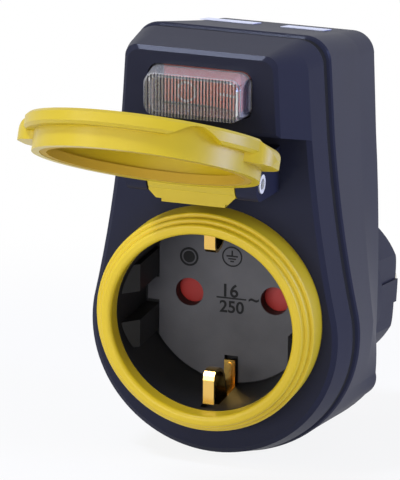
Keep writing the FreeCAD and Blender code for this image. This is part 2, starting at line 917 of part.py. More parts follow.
def contact_carrier():
    """Insulating block behind the well, bored for the contacts and slotted for the earth lead."""
    y0 = carrier_depth
    y1 = y0 + carrier_length
    half_z = carrier_height / 2
    block = box(-carrier_half, carrier_half, y0, y1, -half_z, half_z)
    flange = rod(cover_r - 0.4, y0, y0 + 1.6)
    block = fuse([block, flange])
    outer = pin_r + contact_wall + fit
    for side in (-1, 1):
        block = block.cut(rod(outer, y0 - 1, y1 + 1, side * half_pitch))
    slot = clip_w / 2 + slot_clearance
    return on_face(block.cut(box(-slot, slot, y0 - 1, y1 + 1, -half_z - 1, half_z + 1)))


def neutral_bar():
    """Brass strip from the neutral contact's plate to the neutral pin's tail."""
    start = face_point(0, carrier_depth + contact_seat + contact_length + contact_wall + seat, 0)
    tail = -pin_tail - seat - earth_strip_t
    path = [(start.y, start.z + bar_top), (start.y + bar_bend / 2, start.z - bar_bend),
            (back_y - bar_bend, start.z - bar_drop), (tail - bar_run, pin_tail_r), (tail, pin_tail_r),
            (tail, -pin_tail_r)]
    return strip(path, earth_strip_t, bar_w, half_pitch)


def earth_lead():
    """Brass strip from the socket's earth bridge to the plug's earth strap."""
    start = face_point(0, bridge_depth + clip_t + seat, -lead_low)
    rest = -earth_strip_length - earth_strip_t - seat
    high = start.z + lead_rise
    path = [(start.y, start.z), (start.y + lead_start, start.z), (rest - lead_end, high), (rest, high)]
    return strip(path, earth_strip_t, clip_w)


# Hinge and lid

def hinge_pin():
    """Hollow steel pin through both lugs and the lid's knuckle."""
    half = lug_outer + hinge_pin_proud
    pin = cross_rod(hinge_pin_r, -half, half, hinge_depth, hinge_z)
    return on_face(pin.cut(cross_rod(hinge_pin_bore, -half - 1, half + 1, hinge_depth, hinge_z)))


def lid():
    """Lid swung open: domed plate and skirt, lobed brim, grips, side tabs, knuckle and heel."""
    plate_under = lid_top + lid_plate
    inner_r = lid_skirt_r - lid_skirt_wall
    shell = turned([(0, lid_top - lid_crown), (lid_skirt_r * 0.55, lid_top - 0.72 * lid_crown, 0),
                    (lid_skirt_r - 0.8, lid_top), (lid_skirt_r, lid_top + 0.8), (lid_skirt_r, lid_rim),
                    (inner_r, lid_rim), (inner_r, plate_under), (0, plate_under)])
    parts = [shell, brim(), side_tab(), mirrored(side_tab()), hinge_arm()]
    whole = fuse(parts)
    whole = whole.cut(rod(inner_r, plate_under, lid_rim + 1))
    whole.rotate(V(0, hinge_depth, hinge_z), V(1, 0, 0), -lid_open)
    whole = fuse([whole, heel()])
    bore = cross_rod(hinge_pin_r + fit, -lug_outer, lug_outer, hinge_depth, hinge_z)
    return on_face(whole.cut(bore))


def brim_wire(y, inset):
    """Outline of the brim at this depth: an arc round the lid's front half with two rounded ends."""
    outer = brim_r - inset
    inner = lid_skirt_r - 1
    root = math.radians(-brim_end)
    shoulder = math.radians(-brim_end - brim_end_round - inset)
    bend = (math.radians(-brim_end - 0.35 * brim_end_round - inset), outer - 0.3 * brim_reach)

    def at(r, angle, side):
        return V(side * r * math.cos(angle), y, r * math.sin(angle))

    edges = [
        Part.Arc(at(outer, shoulder, 1), V(0, y, -outer), at(outer, shoulder, -1)).toShape(),
        Part.Arc(at(outer, shoulder, -1), at(bend[1], bend[0], -1), at(inner, root, -1)).toShape(),
        Part.Arc(at(inner, root, -1), V(0, y, -inner), at(inner, root, 1)).toShape(),
        Part.Arc(at(inner, root, 1), at(bend[1], bend[0], 1), at(outer, shoulder, 1)).toShape(),
    ]
    return Part.Wire(edges)


def brim():
    """Brim round the lid's front and sides, hollowed on its right for a finger."""
    high = lid_top + 0.2
    low = lid_top + brim_t
    b = brim_bevel
    band = loft([brim_wire(high, b), brim_wire(high + b, 0), brim_wire(low - b, 0), brim_wire(low, b)])
    return band.cut(finger_arch(low))


def finger_arch(low):
    """Smooth arch that lifts the brim's underside to a thin web; drawn at +X and turned into place."""
    top = lid_top + grip_web
    points = [V(0, low + 0.5, -grip_half), V(0, (low + top) / 2, -0.55 * grip_half), V(0, top, 0),
              V(0, (low + top) / 2, 0.55 * grip_half), V(0, low + 0.5, grip_half)]
    curve = Part.BSplineCurve()
    curve.interpolate(points)
    under = V(0, low + 2, 0)
    edges = [curve.toShape(), Part.makeLine(points[-1], under), Part.makeLine(under, points[0])]
    arch = Part.Face(Part.Wire(edges)).extrude(V(brim_r + 2, 0, 0))
    arch.rotate(V(0, 0, 0), V(0, -1, 0), grip_angle)
    return arch


def side_tab():
    """Ear on the lid's side: round in front view, and drooping from the lid's top to its lip."""
    top = lid_top + 0.3
    start = lid_skirt_r - 1
    plan_edges = [
        Part.Arc(V(start, top - 1, -tab_half), V(tab_r, top - 1, 0), V(start, top - 1, tab_half)).toShape(),
        Part.makeLine(V(start, top - 1, tab_half), V(start, top - 1, -tab_half)),
    ]
    plan = Part.Face(Part.Wire(plan_edges)).extrude(V(0, tab_lip + 2, 0))
    droop = V(lid_skirt_r + 0.62 * tab_reach, top + 0.3 * tab_sag, -tab_half - 1)
    side_edges = [
        Part.makeLine(V(start, top, droop.z), V(lid_skirt_r, top, droop.z)),
        Part.Arc(V(lid_skirt_r, top, droop.z), droop, V(tab_r, top + tab_sag, droop.z)).toShape(),
        Part.makeLine(V(tab_r, top + tab_sag, droop.z), V(tab_r - 0.5, top + tab_lip, droop.z)),
        Part.makeLine(V(tab_r - 0.5, top + tab_lip, droop.z), V(start, top + tab_lip, droop.z)),
        Part.makeLine(V(start, top + tab_lip, droop.z), V(start, top, droop.z)),
    ]
    side = Part.Face(Part.Wire(side_edges)).extrude(V(0, 0, 2 * tab_half + 2))
    return plan.common(side)


def hinge_arm():
    """Arm from the lid's skirt to the knuckle on the pin, in the closed position."""
    knuckle = cross_rod(knuckle_r, -knuckle_half, knuckle_half, hinge_depth, hinge_z)
    start = math.sqrt(lid_skirt_r ** 2 - knuckle_half ** 2) - 1
    arm = box(-knuckle_half, knuckle_half, hinge_depth - knuckle_r, hinge_depth, start, hinge_z)
    return knuckle.fuse(arm)


def heel():
    """Stepped heel under the knuckle of the open lid, with slanting ends to its wide step."""
    front = hinge_depth - heel_t / 2
    back = hinge_depth + heel_t / 2
    low = hinge_z - heel_step
    slant_end = knuckle_half - heel_slant
    corners = [V(-knuckle_half, front, hinge_z), V(-knuckle_half, front, low + heel_slant),
               V(-slant_end, front, low), V(slant_end, front, low),
               V(knuckle_half, front, low + heel_slant), V(knuckle_half, front, hinge_z)]
    wide = Part.Face(Part.makePolygon(corners + [corners[0]])).extrude(V(0, back - front, 0))
    deep = box(-heel_half, heel_half, front + heel_set, back + 0.6, hinge_z - heel_drop, hinge_z)
    return wide.fuse(deep)


def lid_seal():
    """Rubber ring inside the lid's skirt that meets the yellow ring's front."""
    outer = lid_skirt_r - lid_skirt_wall - fit
    seal = ring_sector(outer - seal_w, outer, lid_rim - seal_t, lid_rim - seat, 0, 360)
    seal.rotate(V(0, hinge_depth, hinge_z), V(1, 0, 0), -lid_open)
    return on_face(seal)


# Switch

def rocker_boot():
    """Clear soft boot through the window, ribbed across its front, with a flange behind."""
    low = block_depth + wall
    outer = boot_solid(0)
    inner = boot_solid(boot_wall)
    flange = rounded_plate(boot_half + boot_flange, boot_height + 2 * boot_flange, window_corner,
                           low + fit, low + fit + boot_flange_t, switch_z)
    flange = flange.cut(rounded_plate(boot_half - boot_wall, boot_height - 2 * boot_wall,
                                      window_corner - boot_wall, low - 1, low + 2, switch_z))
    return on_face(fuse([outer.cut(inner), flange]))


def boot_solid(inset):
    """The boot's outer or inner form: slightly tapered, with ribs on the outer one only."""
    low = block_depth + wall + fit + (boot_flange_t if inset == 0 else 1.5)
    front = boot_front + inset
    half = boot_half - inset
    height = boot_height - 2 * inset
    wires = []
    for y, shrink in ((low, 0), (block_depth, 0), (front + 0.6, boot_draft), (front, boot_draft + boot_bevel)):
        plate = rounded_plate(half - shrink, height - 2 * shrink * 0.5, window_corner - inset, y, y + 1,
                              switch_z)
        face = [f for f in plate.Faces if abs(f.CenterOfMass.y - y) < 1e-6][0]
        wires.append(face.OuterWire)
    solid = loft(wires)
    if inset == 0:
        step = 2 * (boot_half - boot_draft - boot_bevel) / (boot_ribs + 1)
        deep = front + boot_rib_depth
        grooves = []
        for i in range(boot_ribs):
            x = (i + 0.5 - boot_ribs / 2) * step
            corners = [V(x - 0.3 * step, front - 0.1, switch_z - height), V(x, deep, switch_z - height),
                       V(x + 0.3 * step, front - 0.1, switch_z - height)]
            groove = Part.Face(Part.makePolygon(corners + [corners[0]]))
            grooves.append(groove.extrude(V(0, 0, 2 * height)))
        solid = solid.cut(Part.makeCompound(grooves))
    return solid


def switch_frame():
    """Dark bezel behind the boot's flange, with the rocker's opening."""
    front = block_depth + wall + 2 * fit + boot_flange_t
    plate = rounded_plate(boot_half + boot_flange, boot_height + 2 * boot_flange, window_corner,
                          front, front + frame_t, switch_z)
    opening_half = rocker_half + opening_gap
    opening_z = rocker_height / 2 + 0.3
    hole = box(-opening_half, opening_half, front - 1, front + frame_t + 1, switch_z - opening_z,
               switch_z + opening_z)
    return on_face(plate.cut(hole))


def switch_body():
    """Open box behind the bezel that holds the rocker's trunnions, the lamp and the terminals."""
    front = block_depth + wall + 3 * fit + boot_flange_t + frame_t
    half_z = body_height / 2
    rear = front + body_depth
    tub = box(-body_half, body_half, front, rear, switch_z - half_z, switch_z + half_z)
    tub = tub.cut(box(-body_half + body_wall, body_half - body_wall, front - 1, rear - body_wall,
                      switch_z - half_z + body_wall, switch_z + half_z - body_wall))
    bore = upright_rod(trunnion_r + fit, switch_z - half_z - 1, switch_z + half_z + 1, 0, rocker_pivot)
    tub = tub.cut(bore)
    blade_bore = upright_rod(blade_pin_r + fit, switch_z - half_z - 1, switch_z + half_z + 1, 0,
                             blade_depth)
    tub = tub.cut(blade_bore)
    for x in (-terminal_x, 0, terminal_x):
        half_w = terminal_w / 2 + fit
        half_t = terminal_t / 2 + fit
        tub = tub.cut(box(x - half_t, x + half_t, rear - body_wall - 1, rear + 1,
                          switch_z - half_w, switch_z + half_w))
    return on_face(tub)


def rocked(shape, angle, depth):
    """Turn a switch piece about the upright axis at this depth."""
    turnedshape = shape.copy()
    turnedshape.rotate(V(0, depth, switch_z), V(0, 0, 1), angle)
    return turnedshape


def rocker():
    """Red rocker, tipped to off: dished front, hollow behind, with two trunnions."""
    z0 = switch_z - rocker_height / 2
    left = V(-rocker_half, rocker_front, z0)
    dish = V(0, rocker_front + rocker_dish, z0)
    right = V(rocker_half, rocker_front, z0)
    keel = V(0, rocker_pivot + rocker_skirt, z0)
    foot_l = V(-rocker_half + 0.6, rocker_front + 3.2, z0)
    foot_r = V(rocker_half - 0.6, rocker_front + 3.2, z0)
    keel_l = V(-2.6, keel.y, z0)
    keel_r = V(2.6, keel.y, z0)
    edges = [Part.Arc(left, dish, right).toShape()]
    rest = [right, foot_r, keel_r, keel_l, foot_l, left]
    for p, q in zip(rest, rest[1:]):
        edges.append(Part.makeLine(p, q))
    solid = Part.Face(Part.Wire(edges)).extrude(V(0, 0, rocker_height))
    w = rocker_wall
    for x0, x1 in ((-rocker_half + 1.8, -plunger_r - w), (plunger_r + w, rocker_half - 1.8)):
        hollow = box(x0, x1, rocker_front + rocker_dish + w, keel.y + 1, z0 + w, z0 + rocker_height - w)
        solid = solid.cut(hollow)
    solid = solid.cut(rod(plunger_r + fit, rocker_pivot - 1.2, keel.y + 1, 0, switch_z))
    reach = body_height / 2 - 0.1
    pins = upright_rod(trunnion_r, switch_z - reach, switch_z + reach, 0, rocker_pivot)
    pins = pins.cut(box(-2, 2, rocker_pivot - 2, rocker_pivot + 2, switch_z - 2.4, switch_z + 2.4))
    return on_face(rocked(fuse([solid, pins]), -rocker_swing, rocker_pivot))


def switch_plunger():
    """Spring-loaded plunger in the rocker that pushes the see-saw blade across."""
    tip = blade_depth - blade_pin_r - blade_hub - 0.35
    start = rocker_pivot - 1.1
    body = turned([(0, start), (plunger_r, start)] + dome(plunger_r, tip))
    body.translate(V(0, 0, switch_z))
    return on_face(rocked(body, -rocker_swing, rocker_pivot))


def moving_contact():
    """See-saw blade on a cross pin, its left end lifted off the load contact while off."""
    y0 = blade_depth - blade_t / 2
    y1 = blade_depth + blade_t / 2
    half_w = blade_w / 2
    blade = box(-blade_half, blade_half, y0, y1, switch_z - half_w, switch_z + half_w)
    point = rod(1.1, y1 - 0.1, y1 + 0.6, -blade_half + 1.2, switch_z)
    hub = upright_rod(blade_pin_r + blade_hub, switch_z - half_w, switch_z + half_w, 0, blade_depth)
    reach = body_height / 2 - 0.1
    pin = upright_rod(blade_pin_r, switch_z - reach, switch_z + reach, 0, blade_depth)
    return on_face(rocked(fuse([blade, point, hub, pin]), blade_swing, blade_depth))


def terminal(x, head):
    """Flat tab through the switch body's floor; head is how far it stands up inside."""
    rear = block_depth + wall + 3 * fit + boot_flange_t + frame_t + body_depth
    half_w = terminal_w / 2
    half_t = terminal_t / 2
    start = rear - body_wall - head
    tab = box(x - half_t, x + half_t, start, rear + terminal_length, switch_z - half_w, switch_z + half_w)
    return tab, start


def load_terminal():
    """Tab on the left with the fixed contact that the blade closes on."""
    tab, start = terminal(-terminal_x, 0.8)
    shelf = box(-terminal_x - terminal_t / 2, -blade_half + 2.4, start, start + terminal_t,
                switch_z - 1.6, switch_z + 1.6)
    return on_face(fuse([tab, shelf]))


def supply_terminal():
    """Middle tab, which carries the see-saw blade's pivot."""
    tab, start = terminal(0, 0.8)
    return on_face(tab)


def lamp_terminal():
    """Tab on the right for the lamp's neutral side."""
    tab, start = terminal(terminal_x, 0.8)
    return on_face(tab)


def neon_lamp():
    """Small glass capsule across the switch body, under the rocker's right half."""
    half = lamp_length / 2
    glass = upright_rod(lamp_r, switch_z - half, switch_z + half, lamp_x, lamp_depth)
    edges = [e for e in glass.Edges if len(e.Vertexes) == 1]
    return on_face(glass.makeFillet(0.8, edges))


def lamp_resistor():
    """Resistor in series with the lamp."""
    half = resistor_length / 2
    return on_face(upright_rod(resistor_r, switch_z - half, switch_z + half, resistor_x, resistor_depth))


def lamp_leads():
    """Two fine leads: resistor to the lamp's lower end, and resistor to its tab."""
    low = switch_z - lamp_length / 2 - 0.1
    first = wire_tube([V(lamp_x, lamp_depth, low), V(lamp_x, lamp_depth, low - 0.6),
                       V(resistor_x, resistor_depth, low - 0.6),
                       V(resistor_x, resistor_depth, switch_z - resistor_length / 2 - 0.1)],
                      lead_r, 0.4)
    rear = block_depth + wall + 3 * fit + boot_flange_t + frame_t + body_depth - body_wall
    high = switch_z + resistor_length / 2
    end_x = terminal_x + terminal_t / 2 + lead_r + 0.1
    second = wire_tube([V(resistor_x, resistor_depth, high + 0.1), V(resistor_x, resistor_depth, high + 0.9),
                        V(end_x, rear - 0.5, high + 0.9), V(end_x, rear - 0.5, high - 1.0)],
                       lead_r, 0.4)
    return on_face(Part.makeCompound([first, second]))


# Wiring

def tab_end(x):
    """Where a wire meets the back of a switch tab."""
    rear = block_depth + wall + 3 * fit + boot_flange_t + frame_t + body_depth
    return face_point(x, rear + terminal_length + wire_gap, switch_z)


def contact_tab_top(side):
    """Where a wire meets the top of a contact's tab."""
    depth = carrier_depth + contact_seat + contact_length + contact_wall / 2
    return face_point(side * half_pitch, depth, contact_tab + seat)


def supply_wire():
    """From the live pin's tail up behind the contacts to the switch's middle tab."""
    return wire_tube([tab_end(0), V(-0.3 * wire_lane, crease_y - wire_top_lead, wire_top),
                      V(-wire_lane, wire_back, wire_turn), V(-wire_lane, wire_back + 1.3, wire_turn - 16),
                      V(-wire_lane, wire_back + 3, plug_r - 8), V(-half_pitch, -2 * pin_tail, 0.5),
                      V(-half_pitch, -pin_tail - seat, 0)],
                     wire_r, wire_bend)


def load_wire():
    """From the switch's load tab down to the live contact."""
    return wire_tube([tab_end(-terminal_x), V(-terminal_x, crease_y - wire_top_lead, wire_top),
                      V(-half_pitch, wire_back - 5, wire_turn),
                      contact_tab_top(-1)], wire_r, wire_bend)


def lamp_wire():
    """From the lamp's tab down to the neutral contact."""
    return wire_tube([tab_end(terminal_x), V(terminal_x, crease_y - wire_top_lead, wire_top),
                      V(half_pitch, wire_back - 5, wire_turn),
                      contact_tab_top(1)], wire_r, wire_bend)


# Small outer pieces

def housing_screws():
    """Three screws, drawn without their threads or drives."""
    screws = []
    for x, z in screw_places:
        seat_y = screw_seat_y(z)
        shank = rod(screw_r, seat_y - screw_length, seat_y + 0.5, x, z)
        head = rod(screw_head_r, seat_y + fit, seat_y + screw_head_t, x, z)
        screws.append(shank.fuse(head).removeSplitter())
    return Part.makeCompound(screws)


def top_labels():
    """Two blank stickers on top of the rear shell, just behind its crease."""
    slope = (back_top - crease_top) / (back_y - crease_y)
    path = [(y, crease_top + slope * (y - crease_y) + label_gap) for y in (label_end, label_start)]
    return Part.makeCompound([strip(path, -label_t, label_left_w, label_left),
                              strip(path, -label_t, label_right_w, label_right)])


pieces = {
    "front_shell": front_shell,
    "rear_shell": rear_shell,
    "housing_gasket": housing_gasket,
    "housing_screws": housing_screws,
    "top_labels": top_labels,
    "plug_pins": plug_pins,
    "pin_retainer": pin_retainer,
    "plug_earth_strap": plug_earth_strap,
    "socket_ring": socket_ring,
    "socket_well": socket_well,
    "earth_clips": earth_clips,
    "shutter": shutter,
    "shutter_spring": shutter_spring,
    "shutter_cover": shutter_cover,
    "contact_carrier": contact_carrier,
    "neutral_bar": neutral_bar,
    "earth_lead": earth_lead,
    "hinge_pin": hinge_pin,
    "lid": lid,
    "lid_seal": lid_seal,
    "rocker_boot": rocker_boot,
    "switch_frame": switch_frame,
    "switch_body": switch_body,
    "rocker": rocker,
    "switch_plunger": switch_plunger,
    "moving_contact": moving_contact,
    "load_terminal": load_terminal,
    "supply_terminal": supply_terminal,
    "lamp_terminal": lamp_terminal,
    "neon_lamp": neon_lamp,
    "lamp_resistor": lamp_resistor,
    "lamp_leads": lamp_leads,
    "supply_wire": supply_wire,
    "load_wire": load_wire,
    "lamp_wire": lamp_wire,
}

os.makedirs("parts", exist_ok=True)
for name, make in pieces.items():
    export(name, make())
export("live_contact", contact(-1))
export("neutral_contact", contact(1))
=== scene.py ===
import json
import math

import bmesh
import bpy
from mathutils import Matrix, Vector


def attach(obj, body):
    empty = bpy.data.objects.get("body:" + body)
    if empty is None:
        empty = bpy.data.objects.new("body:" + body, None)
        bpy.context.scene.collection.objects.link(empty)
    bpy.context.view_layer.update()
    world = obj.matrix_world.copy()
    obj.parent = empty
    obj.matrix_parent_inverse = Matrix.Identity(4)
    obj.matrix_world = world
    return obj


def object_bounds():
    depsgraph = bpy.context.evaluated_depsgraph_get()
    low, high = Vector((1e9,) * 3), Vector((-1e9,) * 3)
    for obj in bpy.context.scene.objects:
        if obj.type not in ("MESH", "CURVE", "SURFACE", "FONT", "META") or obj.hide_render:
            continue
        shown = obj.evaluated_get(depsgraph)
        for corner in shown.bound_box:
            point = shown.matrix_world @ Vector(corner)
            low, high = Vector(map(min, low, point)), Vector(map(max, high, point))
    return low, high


# Switched socket adapter for damp places, dressed for the studio. Metres; sizes in millimetres go
# through mm(). The socket face leans forward: face_place() puts a point given as x to the right,
# height up the face and stand out of it, measured from the middle of the cup's floor.

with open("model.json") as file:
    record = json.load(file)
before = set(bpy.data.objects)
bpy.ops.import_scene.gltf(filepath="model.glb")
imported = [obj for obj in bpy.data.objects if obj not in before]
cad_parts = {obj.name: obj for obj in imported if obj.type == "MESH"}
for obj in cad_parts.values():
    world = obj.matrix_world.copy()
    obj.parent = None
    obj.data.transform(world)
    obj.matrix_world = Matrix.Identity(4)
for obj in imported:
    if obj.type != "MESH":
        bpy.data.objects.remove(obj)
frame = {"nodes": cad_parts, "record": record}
cad_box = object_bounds()
nodes = frame["nodes"]
mounts = {m["name"]: m for m in frame["record"]["mounts"]}
floor_mount = mounts["socket_pin_holes"]

# Sizes of the added pieces, in millimetres. A place on the socket face is x and height.

# Grey plate on the cup's floor. floor_half is half the thickness of that floor, and hole_room how much
# wider than the floor's pin holes the plate's are, on the radius.
floor_half = 1.25
plate_r = 19.25
plate_half = 16.3
plate_height = 0.3
plate_edge = 0.06
tab_half = 2.5
tab_reach = 18.9
notch_half = 1.5
upper_notch = 15.5
lower_notch = -13.3
hole_room = 0.03
pin_hole_x = floor_mount["dims"]["pcd_mm"] / 2
pin_hole_r = floor_mount["dims"]["hole_r_mm"] + hole_room

# Raised rating figures, whose strokes figure_stroke thickens, and the rule between them
mark_height = 0.12
figure_size = 4.0
small_figure_size = 3.68
figure_stroke = 0.08
upper_figures = (-0.5, 1.1)
lower_figures = (0.0, -2.5)
wave_place = (4.9, -0.2)
rule_left = -3.4
rule_right = 3.2
rule_at = -0.4
rule_stroke = 0.3

# Earth sign: a ring, a stem and three bars, each bar given as its height, half length and stroke
earth_place = (0.0, 8.9)
earth_r = 2.1
earth_stroke = 0.28
stem_top = 1.35
stem_foot = 0.1
earth_bars = ((0.1, 1.25, 0.28), (-0.5, 0.85, 0.26), (-1.05, 0.4, 0.26))

# Round mark of a recess with a head in it: a dark ring, painted shade in the recess round the head, with a
# plain disc for the head
recess_place = (-9.6, 7.9)
recess_ring_r = 1.85
recess_ring_stroke = 0.45
head_disc_r = 1.3

# Dished front of the rocker: the x of its hollow's middle, its radius and how far the middle stands
# out of the cup's floor
dish_x = -6.3
dish_r = 37.3
dish_floor = 18.585

# O and I printed on the rocker
ink_sunk = 0.02
ink_height = 0.07
ring_place = (-4.3, 49.96)
ring_r = 2.0
ring_stroke = 0.46
line_left = 3.0
line_length = 4.4
line_at = 50.5
line_stroke = 0.6
line_pieces = 12

# Ribs across the front of the boot
rib_band = 20.2
boot_ribs = 28
rib_pitch = rib_band / (boot_ribs + 1)


def mm(value):
    """Millimetres as metres."""
    return value / 1000


# The socket face's own axes, from the place and lie of its pin holes
face_out = Vector(floor_mount["axis"]).normalized()
face_right = Vector((1, 0, 0))
face_up = face_out.cross(face_right)
floor_middle = Vector(floor_mount["pos_m"]) + face_out * mm(floor_half)


def face_place(x, height, out=0.0):
    """Point of the socket face, in millimetres from the middle of the cup's floor."""
    return floor_middle + face_right * mm(x) + face_up * mm(height) + face_out * mm(out)


def face_matrix(x, height, out=0.0):
    """Lie of a flat piece on the socket face, with its own Z standing out."""
    axes = Matrix((face_right, face_up, face_out)).transposed().to_4x4()
    return Matrix.Translation(face_place(x, height, out)) @ axes


# Materials

# Widths of the patterns that the finishes share, in millimetres, and how far they move the roughness
drift_width = 14.0
streak_width = 2.5
grain_smoother = 0.05
grain_rougher = 0.07
streak_smoother = 0.03
streak_rougher = 0.05


def srgb(code):
    """Linear colour with alpha from an sRGB hex value."""
    parts = [int(code[i:i + 2], 16) / 255 for i in (0, 2, 4)]
    return [c / 12.92 if c <= 0.04045 else ((c + 0.055) / 1.055) ** 2.4 for c in parts] + [1.0]


def add(tree, kind, settings=None, links=None, **options):
    """Add one node, with its socket values, its incoming links and its other options."""
    node = tree.nodes.new(kind)
    for name, value in options.items():
        setattr(node, name, value)
    for socket, value in (settings or {}).items():
        node.inputs[socket].default_value = value
    for socket, source in (links or {}).items():
        tree.links.new(source, node.inputs[socket])
    return node


def blank_material(name):
    """New material and its empty node tree."""
    material = bpy.data.materials.new(name)
    material.use_nodes = True
    material.node_tree.nodes.clear()
    return material, material.node_tree


def surface(name, colour, shade, grain, lift, roughness, settings=None, stretch=(1, 1, 1)):
    """Solid finish: a colour that drifts to its shade, and a fine grain that lifts the surface.

    grain is the real width of the grain and lift its height, both in millimetres. stretch draws the
    grain out along the axes where it is small.
    """
    material, tree = blank_material(name)
    place = add(tree, "ShaderNodeTexCoord")
    lie = add(tree, "ShaderNodeMapping", {"Scale": stretch}, {"Vector": place.outputs["Object"]})
    drift = add(tree, "ShaderNodeTexNoise", {"Scale": 1 / mm(drift_width), "Detail": 3.0},
                {"Vector": place.outputs["Object"]})
    relief = add(tree, "ShaderNodeTexNoise", {"Scale": 1 / mm(grain), "Detail": 4.0, "Roughness": 0.6},
                 {"Vector": lie.outputs["Vector"]})
    tone = add(tree, "ShaderNodeMix", {"A": srgb(colour), "B": srgb(shade)},
               {"Factor": drift.outputs["Fac"]}, data_type="RGBA")
    gloss = add(tree, "ShaderNodeMapRange",
                {"To Min": roughness - grain_smoother, "To Max": roughness + grain_rougher},
                {"Value": relief.outputs["Fac"]})
    bump = add(tree, "ShaderNodeBump", {"Distance": mm(lift), "Strength": 1.0},
               {"Height": relief.outputs["Fac"]})
    skin = add(tree, "ShaderNodeBsdfPrincipled", settings,
               {"Base Color": tone.outputs["Result"], "Roughness": gloss.outputs["Result"],
                "Normal": bump.outputs["Normal"]})
    add(tree, "ShaderNodeOutputMaterial", None, {"Surface": skin.outputs["BSDF"]})
    return material


def clear_surface(name, roughness, settings):
    """See-through finish, with faint streaks in its gloss from the drawing."""
    material, tree = blank_material(name)
    place = add(tree, "ShaderNodeTexCoord")
    streak = add(tree, "ShaderNodeTexNoise", {"Scale": 1 / mm(streak_width), "Detail": 3.0},
                 {"Vector": place.outputs["Object"]})
    gloss = add(tree, "ShaderNodeMapRange",
                {"To Min": roughness - streak_smoother, "To Max": roughness + streak_rougher},
                {"Value": streak.outputs["Fac"]})
    skin = add(tree, "ShaderNodeBsdfPrincipled", settings, {"Roughness": gloss.outputs["Result"]})
    add(tree, "ShaderNodeOutputMaterial", None, {"Surface": skin.outputs["BSDF"]})
    return material


def ribbed_surface(name, crest, groove, settings):
    """Clear ribbed finish with a painted highlight along each rib's crest and painted shade in its grooves.

    A wave along x has its crests on the ribs. The colour changes over between groove_end and
    crest_start of its height, and faces that point upward are as pale as the crests, as painted top light.
    """
    groove_end = -0.5
    crest_start = 0.5
    upward = 0.5
    material, tree = blank_material(name)
    place = add(tree, "ShaderNodeTexCoord")
    across = add(tree, "ShaderNodeSeparateXYZ", None, {"Vector": place.outputs["Object"]})
    turn = add(tree, "ShaderNodeMath", {1: 2 * math.pi / mm(rib_pitch)}, {0: across.outputs["X"]},
               operation="MULTIPLY")
    wave = add(tree, "ShaderNodeMath", None, {0: turn.outputs["Value"]}, operation="COSINE")
    facing = add(tree, "ShaderNodeSeparateXYZ", None, {"Vector": place.outputs["Normal"]})
    top_face = add(tree, "ShaderNodeMath", {1: upward}, {0: facing.outputs["Z"]}, operation="GREATER_THAN")
    crest_highlight_share = add(tree, "ShaderNodeMapRange", {"From Min": groove_end, "From Max": crest_start},
                      {"Value": wave.outputs["Value"]})
    # Painted highlight on the crests and upward faces, painted shade in the grooves
    painted_light_share = add(tree, "ShaderNodeMath", None,
                     {0: crest_highlight_share.outputs["Result"], 1: top_face.outputs["Value"]}, operation="MAXIMUM")
    tone = add(tree, "ShaderNodeMix", {"A": srgb(groove), "B": srgb(crest)},
               {"Factor": painted_light_share.outputs["Value"]}, data_type="RGBA")
    skin = add(tree, "ShaderNodeBsdfPrincipled", settings, {"Base Color": tone.outputs["Result"]})
    add(tree, "ShaderNodeOutputMaterial", None, {"Surface": skin.outputs["BSDF"]})
    return material


# Polypropylene from a spark-etched mould: near black with a blue cast, dull, with a faint waxy skin
# that catches light along the edges.
housing_plastic = surface("etched_black_polypropylene", "282A39", "242533",
                          grain=0.32, lift=0.004, roughness=0.6,
                          settings={"IOR": 1.49, "Specular IOR Level": 0.05, "Coat Weight": 0.1,
                                    "Coat Roughness": 0.13, "Coat IOR": 1.45})
# Soft rubber bead: blacker and duller than the shells, so the joint reads as a dark line.
joint_rubber = surface("moulded_black_rubber", "0E0E12", "121216", grain=0.5, lift=0.02, roughness=0.75,
                       settings={"IOR": 1.52, "Specular IOR Level": 0.15})
# Smooth-moulded polypropylene of the lid: yellow with a soft, wide highlight, its colour a darker copy of
# the ring's as painted shade.
shaded_lid_plastic = surface("shaded_yellow_polypropylene", "C8AF1E", "C0A516",
                      grain=0.9, lift=0.006, roughness=0.34, settings={"IOR": 1.49})
# Polypropylene of the socket's ring: the same moulding, a little warmer; its lighter tone than the lid's is
# painted light.
ring_plastic = surface("moulded_yellow_polypropylene", "D8BA1C", "D0B016",
                       grain=0.9, lift=0.003, roughness=0.42, settings={"IOR": 1.49})
# Yellow sealing rubber: a similar hue, darker and without gloss.
seal_rubber = surface("moulded_yellow_rubber", "BE9A1E", "B48F18",
                      grain=0.4, lift=0.02, roughness=0.7, settings={"IOR": 1.52})
# Polyamide of the cup and switch frame: black and smooth.
cup_plastic = surface("moulded_black_polyamide", "111113", "151517", grain=0.45, lift=0.01, roughness=0.5,
                      settings={"IOR": 1.53, "Specular IOR Level": 0.3})
# Glass-filled polyamide of the plate on the cup's floor: grey, clouded with darker patches.
plate_plastic = surface("glass_filled_grey_polyamide", "605F63", "2C2B2F",
                        grain=0.45, lift=0.03, roughness=0.55, settings={"IOR": 1.53})
# Inner mouldings in natural grey thermoplastic polyester: pale, even and a little glossy.
inner_plastic = surface("moulded_pale_polyester", "8E9092", "84878A",
                        grain=0.4, lift=0.02, roughness=0.45, settings={"IOR": 1.55})
# Near-black finish of the plate's raised figures, so that they stand out from the grey.
dark_mark_finish = surface("dark_mark_polyamide", "0C0C0E", "101013", grain=0.3, lift=0.01, roughness=0.5,
                     settings={"IOR": 1.53, "Specular IOR Level": 0.2})
# Acetal of the child guard: a waxy deep red.
guard_acetal = surface("moulded_red_acetal", "B02A22", "A0241E",
                       grain=0.5, lift=0.01, roughness=0.38, settings={"IOR": 1.48})
# Polycarbonate rocker: red with a polished front, and a faint painted glow standing in for light from the
# lamp inside.
rocker_plastic = surface("polished_red_polycarbonate", "E04C36", "D0402C",
                         grain=1.2, lift=0.004, roughness=0.25,
                         settings={"IOR": 1.58, "Emission Color": srgb("FF8A7A"), "Emission Strength": 0.16})
# White acetal of the plunger and the resistor's sleeve: soft white with a waxy gloss.
white_acetal = surface("moulded_white_acetal", "DCDCD4", "D2D2CA",
                       grain=0.5, lift=0.01, roughness=0.4, settings={"IOR": 1.48})
